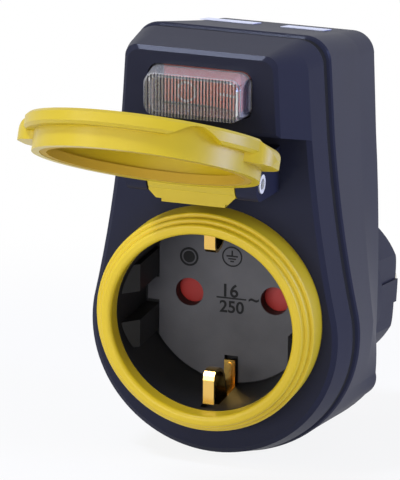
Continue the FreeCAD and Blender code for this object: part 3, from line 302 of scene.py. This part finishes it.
# Pad-printed ink of the rocker's marks: flat white.
white_ink = surface("pad_printed_white_ink", "F4F0EE", "EAE6E3",
                    grain=0.3, lift=0.01, roughness=0.5, settings={"IOR": 1.5})
# Finish of the two flat white patches on top: cool white, slightly glossy.
top_patch_white = surface("cool_white_top_patch", "E4E7F6", "DDE0F1",
                       grain=1.5, lift=0.004, roughness=0.32, settings={"IOR": 1.5})
# Rolled and stamped brass strip: bright yellow metal with fine rolling lines.
rolled_brass = surface("rolled_brass", "EFC772", "E2B65C", grain=0.12, lift=0.006, roughness=0.2,
                       settings={"Metallic": 1.0}, stretch=(1, 0.08, 0.08))
# Nickel-plated brass of the pins, the earth strap and the lamp's leads: warm white metal with
# turning rings round the pins.
plated_brass = surface("nickel_plated_brass", "D2CDC2", "C8C3B8", grain=0.15, lift=0.004, roughness=0.2,
                       settings={"Metallic": 1.0}, stretch=(0.1, 1, 0.1))
# Zinc-plated steel of the screws: cool, slightly cloudy.
plated_steel = surface("zinc_plated_steel", "EEF0F4", "DCE0E6",
                       grain=0.4, lift=0.008, roughness=0.2, settings={"Metallic": 1.0})
# Turned steel of the hinge pin: bright, with a fine matt cut over its ends.
turned_steel = surface("turned_stainless_steel", "F6F7FA", "ECEEF2",
                       grain=0.3, lift=0.006, roughness=0.5, settings={"Metallic": 1.0})
# Hard-rolled spring steel: plain grey metal.
spring_steel = surface("rolled_spring_steel", "A8AAAD", "9A9CA0",
                       grain=0.2, lift=0.004, roughness=0.28, settings={"Metallic": 1.0})
# Wire insulation in soft vinyl: brown for live and blue for neutral.
brown_vinyl = surface("extruded_brown_vinyl", "6B3F24", "623920",
                      grain=0.8, lift=0.006, roughness=0.4, settings={"IOR": 1.53})
blue_vinyl = surface("extruded_blue_vinyl", "2F5FA8", "2A579C",
                     grain=0.8, lift=0.006, roughness=0.4, settings={"IOR": 1.53})
# Silicone of the boot: clear and soft, with a painted highlight along its ribs' crests, painted shade in the
# grooves and painted top light on its upward faces.
boot_silicone = ribbed_surface("moulded_clear_silicone", crest="FFFFFF", groove="888892",
                               settings={"Roughness": 0.1, "IOR": 1.41, "Transmission Weight": 0.83})
# Soda glass of the neon lamp: clear with a warm tint.
lamp_glass = clear_surface("drawn_soda_glass", roughness=0.06,
                           settings={"Base Color": srgb("FFF2EA"), "IOR": 1.5, "Transmission Weight": 1.0})

finishes = {
    "front_shell": housing_plastic,
    "rear_shell": housing_plastic,
    "housing_gasket": joint_rubber,
    "housing_screws": plated_steel,
    "top_labels": top_patch_white,
    "plug_pins": plated_brass,
    "pin_retainer": inner_plastic,
    "plug_earth_strap": plated_brass,
    "socket_ring": ring_plastic,
    "socket_well": cup_plastic,
    "earth_clips": rolled_brass,
    "shutter": guard_acetal,
    "shutter_spring": spring_steel,
    "shutter_cover": inner_plastic,
    "contact_carrier": inner_plastic,
    "neutral_bar": rolled_brass,
    "earth_lead": rolled_brass,
    "hinge_pin": turned_steel,
    "lid": shaded_lid_plastic,
    "lid_seal": seal_rubber,
    "rocker_boot": boot_silicone,
    "switch_frame": cup_plastic,
    "switch_body": inner_plastic,
    "rocker": rocker_plastic,
    "switch_plunger": white_acetal,
    "moving_contact": rolled_brass,
    "load_terminal": rolled_brass,
    "supply_terminal": rolled_brass,
    "lamp_terminal": rolled_brass,
    "neon_lamp": lamp_glass,
    "lamp_resistor": white_acetal,
    "lamp_leads": plated_brass,
    "supply_wire": brown_vinyl,
    "load_wire": brown_vinyl,
    "lamp_wire": blue_vinyl,
    "live_contact": rolled_brass,
    "neutral_contact": rolled_brass,
}


def dress_nodes():
    """Give every solid piece its finish."""
    for name, finish in finishes.items():
        mesh = nodes[name].data
        mesh.materials.clear()
        mesh.materials.append(finish)


# Added pieces

def mesh_piece(name, mesh, matrix, material, body):
    """Put a finished mesh on the object, riding on its body."""
    piece = bpy.data.objects.new(name, mesh)
    bpy.context.scene.collection.objects.link(piece)
    piece.matrix_world = matrix
    mesh.materials.append(material)
    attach(piece, body)


def mesh_from(name, data):
    """Mesh that a curve or text makes."""
    source = bpy.data.objects.new(name, data)
    bpy.context.scene.collection.objects.link(source)
    bpy.context.view_layer.update()
    mesh = bpy.data.meshes.new_from_object(source.evaluated_get(bpy.context.evaluated_depsgraph_get()))
    bpy.data.objects.remove(source)
    return mesh


def circle(x, y, radius, steps=48):
    """Closed round loop."""
    angles = [2 * math.pi * i / steps for i in range(steps)]
    return [(x + radius * math.cos(a), y + radius * math.sin(a)) for a in angles]


def bar(x0, y0, x1, y1, width):
    """Outline of a straight stroke with square ends."""
    along = Vector((x1 - x0, y1 - y0)).normalized()
    side = Vector((-along.y, along.x)) * width / 2
    return [(x0 + side.x, y0 + side.y), (x0 - side.x, y0 - side.y),
            (x1 - side.x, y1 - side.y), (x1 + side.x, y1 + side.y)]


def ring_strokes(radius, width, steps=48, middle=(0.0, 0.0)):
    """Outlines that make up a round ring."""
    inner = radius - width / 2
    outer = radius + width / 2
    quads = []
    for i in range(steps):
        quad = []
        for r, k in ((inner, i), (outer, i), (outer, i + 1), (inner, i + 1)):
            a = 2 * math.pi * k / steps
            quad.append((middle[0] + r * math.cos(a), middle[1] + r * math.sin(a)))
        quads.append(quad)
    return quads


def extruded(outlines, height, foot=None):
    """Mesh of a low block on each closed outline, in millimetres; foot gives its lowest height at an x."""
    form = bmesh.new()
    for outline in outlines:
        ring = [form.verts.new((mm(x), mm(y), mm(foot(x)) if foot else 0)) for x, y in outline]
        face = form.faces.new(ring)
        top = bmesh.ops.extrude_face_region(form, geom=[face])
        lifted = [v for v in top["geom"] if isinstance(v, bmesh.types.BMVert)]
        bmesh.ops.translate(form, verts=lifted, vec=(0, 0, mm(height)))
    bmesh.ops.recalc_face_normals(form, faces=form.faces)
    mesh = bpy.data.meshes.new("mark")
    form.to_mesh(mesh)
    form.free()
    return mesh


def flat_plate(name, loops, height, edge):
    """Mesh of a flat plate in millimetres with a softened edge; loops inside the first are holes."""
    curve = bpy.data.curves.new(name, "CURVE")
    curve.dimensions = "2D"
    curve.fill_mode = "BOTH"
    curve.extrude = mm(height / 2 - edge)
    curve.bevel_depth = mm(edge)
    curve.offset = -mm(edge)
    for loop in loops:
        spline = curve.splines.new("POLY")
        spline.points.add(len(loop) - 1)
        for point, (x, y) in zip(spline.points, loop):
            point.co = (mm(x), mm(y), 0, 1)
        spline.use_cyclic_u = True
    return mesh_from(name, curve)


def floor_plate():
    """Grey plate on the cup's black floor, left out under the guides and round the earth clips."""
    side_angle = math.acos(plate_half / plate_r)
    notch_angle = math.acos(notch_half / plate_r)
    arc_steps = 16
    angles = [notch_angle + (side_angle - notch_angle) * i / arc_steps for i in range(arc_steps + 1)]
    upper = [(plate_r * math.cos(a), plate_r * math.sin(a)) for a in angles]
    lower = [(x, -y) for x, y in reversed(upper)]
    tab = [(plate_half, tab_half), (tab_reach, tab_half), (tab_reach, -tab_half), (plate_half, -tab_half)]
    right = [(notch_half, upper_notch)] + upper + tab + lower + [(notch_half, lower_notch)]
    outline = right + [(-x, y) for x, y in reversed(right)]
    loops = [outline, circle(-pin_hole_x, 0, pin_hole_r), circle(pin_hole_x, 0, pin_hole_r)]
    mesh = flat_plate("floor_plate", loops, plate_height, plate_edge)
    mesh_piece("floor_plate", mesh, face_matrix(0, 0, plate_height / 2), plate_plastic, "housing")


def floor_mark(name, mesh, place=(0.0, 0.0)):
    """Put a raised mark on the floor plate."""
    mesh_piece(name, mesh, face_matrix(*place, plate_height), dark_mark_finish, "housing")


def figures(name, words, place, size):
    """Raised figures, centred on their place."""
    text = bpy.data.curves.new(name, "FONT")
    text.body = words
    text.size = mm(size)
    text.align_x = "CENTER"
    text.align_y = "CENTER"
    text.extrude = mm(mark_height) / 2
    text.offset = mm(figure_stroke)
    floor_mark(name, mesh_from(name, text), place)


def floor_marks():
    """Rating figures, earth sign and a round mark of a recess with a head in it on the plate."""
    figures("rating_16", "16", upper_figures, figure_size)
    figures("rating_250", "250", lower_figures, small_figure_size)
    figures("rating_wave", "~", wave_place, figure_size)
    rule = [bar(rule_left, rule_at, rule_right, rule_at, rule_stroke)]
    floor_mark("rating_rule", extruded(rule, mark_height))
    earth = ring_strokes(earth_r, earth_stroke)
    earth.append(bar(0, stem_top, 0, stem_foot, earth_stroke))
    for height, half, stroke in earth_bars:
        earth.append(bar(-half, height, half, height, stroke))
    floor_mark("earth_sign", extruded(earth, mark_height), earth_place)
    # The dark ring is painted shade in the recess round the head; the disc is the dark head
    recess_mark = ring_strokes(recess_ring_r, recess_ring_stroke) + [circle(0, 0, head_disc_r, steps=32)]
    floor_mark("recess_mark_with_head", extruded(recess_mark, mark_height), recess_place)


def ink_foot(x):
    """How far the ink's underside stands out of the cup's floor: just inside the rocker's dished front."""
    return dish_floor - ink_sunk + dish_r - math.sqrt(dish_r ** 2 - (x - dish_x) ** 2)


def rocker_marks():
    """O and I printed on the rocker's two halves, following its dished front."""
    ends = [line_left + line_length * i / line_pieces for i in range(line_pieces + 1)]
    line = [bar(x0, line_at, x1, line_at, line_stroke) for x0, x1 in zip(ends, ends[1:])]
    ring = ring_strokes(ring_r, ring_stroke, middle=ring_place)
    for name, outlines in (("rocker_o", ring), ("rocker_i", line)):
        mesh = extruded(outlines, ink_height, ink_foot)
        mesh_piece(name, mesh, face_matrix(0, 0), white_ink, "rocker")


# Studio, in metres and watts. Near its middle the floor is lifted to white by floor_white_share only,
# so that the object's shadow shows. From floor_shadow_from outward it turns paler, and from
# floor_shadow_to on it is all white.
world_light = 0.3
floor_size = 6.0
floor_white_share = 0.88
floor_shadow_from = 0.08
floor_shadow_to = 0.26
lamp_aim = Vector((0, -0.08, 0.02))


def soft_lamp(name, place, width, height, power, colour="FFFFFF"):
    """Rectangular softbox that points at the object."""
    lamp = bpy.data.lights.new(name, "AREA")
    lamp.shape = "RECTANGLE"
    lamp.size = width
    lamp.size_y = height
    lamp.energy = power
    lamp.color = srgb(colour)[:3]
    piece = bpy.data.objects.new(name, lamp)
    bpy.context.scene.collection.objects.link(piece)
    piece.location = place
    piece.rotation_euler = (lamp_aim - Vector(place)).to_track_quat("-Z", "Y").to_euler()


def background_rays(tree):
    """1 for rays that show the background: to the camera, in reflections and through glass."""
    path = add(tree, "ShaderNodeLightPath")
    first = add(tree, "ShaderNodeMath", None,
                {0: path.outputs["Is Camera Ray"], 1: path.outputs["Is Glossy Ray"]}, operation="MAXIMUM")
    both = add(tree, "ShaderNodeMath", None,
               {0: first.outputs["Value"], 1: path.outputs["Is Transmission Ray"]}, operation="MAXIMUM")
    return both.outputs["Value"]


def floor_paper():
    """Matt white paper that keeps the object's shadow and is lifted to white where it is seen."""
    material, tree = blank_material("matt_white_paper")
    paper = add(tree, "ShaderNodeBsdfDiffuse", {"Color": srgb("F4F4F4")})
    white = add(tree, "ShaderNodeEmission", {"Color": srgb("FFFFFF"), "Strength": 1.0})
    place = add(tree, "ShaderNodeTexCoord")
    away = add(tree, "ShaderNodeVectorMath", None, {0: place.outputs["Object"]}, operation="LENGTH")
    seen_white = add(tree, "ShaderNodeMapRange",
                     {"From Min": floor_shadow_from, "From Max": floor_shadow_to,
                      "To Min": floor_white_share, "To Max": 1.0},
                     {"Value": away.outputs["Value"]}, interpolation_type="SMOOTHSTEP")
    share = add(tree, "ShaderNodeMath", None,
                {0: background_rays(tree), 1: seen_white.outputs["Result"]}, operation="MULTIPLY")
    mix = add(tree, "ShaderNodeMixShader", None,
              {0: share.outputs["Value"], 1: paper.outputs["BSDF"], 2: white.outputs["Emission"]})
    add(tree, "ShaderNodeOutputMaterial", None, {"Surface": mix.outputs["Shader"]})
    return material


def studio_floor():
    """Plain pale floor just under the object."""
    half = floor_size / 2
    mesh = bpy.data.meshes.new("floor")
    mesh.from_pydata([(-half, -half, 0), (half, -half, 0), (half, half, 0), (-half, half, 0)], [],
                     [(0, 1, 2, 3)])
    mesh.materials.append(floor_paper())
    floor = bpy.data.objects.new("floor", mesh)
    bpy.context.scene.collection.objects.link(floor)
    floor.location.z = cad_box[0].z


def studio_world():
    """White surroundings: full white where they are seen, softer as a light."""
    world = bpy.data.worlds.new("studio")
    bpy.context.scene.world = world
    world.use_nodes = True
    tree = world.node_tree
    tree.nodes.clear()
    soft = add(tree, "ShaderNodeBackground", {"Color": srgb("FFFFFF"), "Strength": world_light})
    white = add(tree, "ShaderNodeBackground", {"Color": srgb("FFFFFF"), "Strength": 1.0})
    mix = add(tree, "ShaderNodeMixShader", None,
              {0: background_rays(tree), 1: soft.outputs["Background"], 2: white.outputs["Background"]})
    add(tree, "ShaderNodeOutputWorld", None, {"Surface": mix.outputs["Shader"]})


# Camera, in metres and degrees. focal_px is its focal length in the photograph's pixels. The
# photograph is squeezed sideways, so fit_to_frame shows the object smaller, with its true width in view.
camera_aim = Vector((-0.0003, -0.0949, 0.0210))
camera_distance = 1.0
camera_azimuth = 17.66
camera_elevation = 8.36
camera_roll = 3.62
frame_height_px = 480
focal_px = 5182.7
fit_to_frame = 0.93
sensor_mm = 36.0


def studio_camera():
    """Long lens from the front right, a little above, as in the photograph."""
    azimuth = math.radians(camera_azimuth)
    elevation = math.radians(camera_elevation)
    back = Vector((math.sin(azimuth) * math.cos(elevation), -math.cos(azimuth) * math.cos(elevation),
                   math.sin(elevation)))
    lens = bpy.data.cameras.new("camera")
    lens.sensor_fit = "VERTICAL"
    lens.sensor_height = sensor_mm
    lens.lens = focal_px * fit_to_frame / frame_height_px * sensor_mm
    lens.clip_start = 0.05
    lens.clip_end = 20
    camera = bpy.data.objects.new("camera", lens)
    bpy.context.scene.collection.objects.link(camera)
    level = back.to_track_quat("Z", "Y").to_matrix().to_4x4()
    roll = Matrix.Rotation(math.radians(camera_roll), 4, "Z")
    camera.matrix_world = Matrix.Translation(camera_aim + back * camera_distance) @ level @ roll
    bpy.context.scene.camera = camera


def studio():
    """Floor, surroundings, four soft lamps and the camera."""
    studio_floor()
    studio_world()
    soft_lamp("key_lamp", place=(-0.85, -0.8, 0.5), width=0.4, height=0.4, power=1.5)
    soft_lamp("low_lamp", place=(-0.2, -1.15, 0.08), width=1.0, height=0.22, power=5.5)
    soft_lamp("top_lamp", place=(-0.33, -0.59, 0.97), width=0.3, height=0.15, power=8, colour="D6E0FF")
    soft_lamp("side_lamp", place=(1.2, 0.1, 0.3), width=0.5, height=0.7, power=12, colour="A4B4FF")
    studio_camera()


dress_nodes()
floor_plate()
floor_marks()
rocker_marks()
studio()

bpy.context.scene.view_settings.view_transform = "Standard"
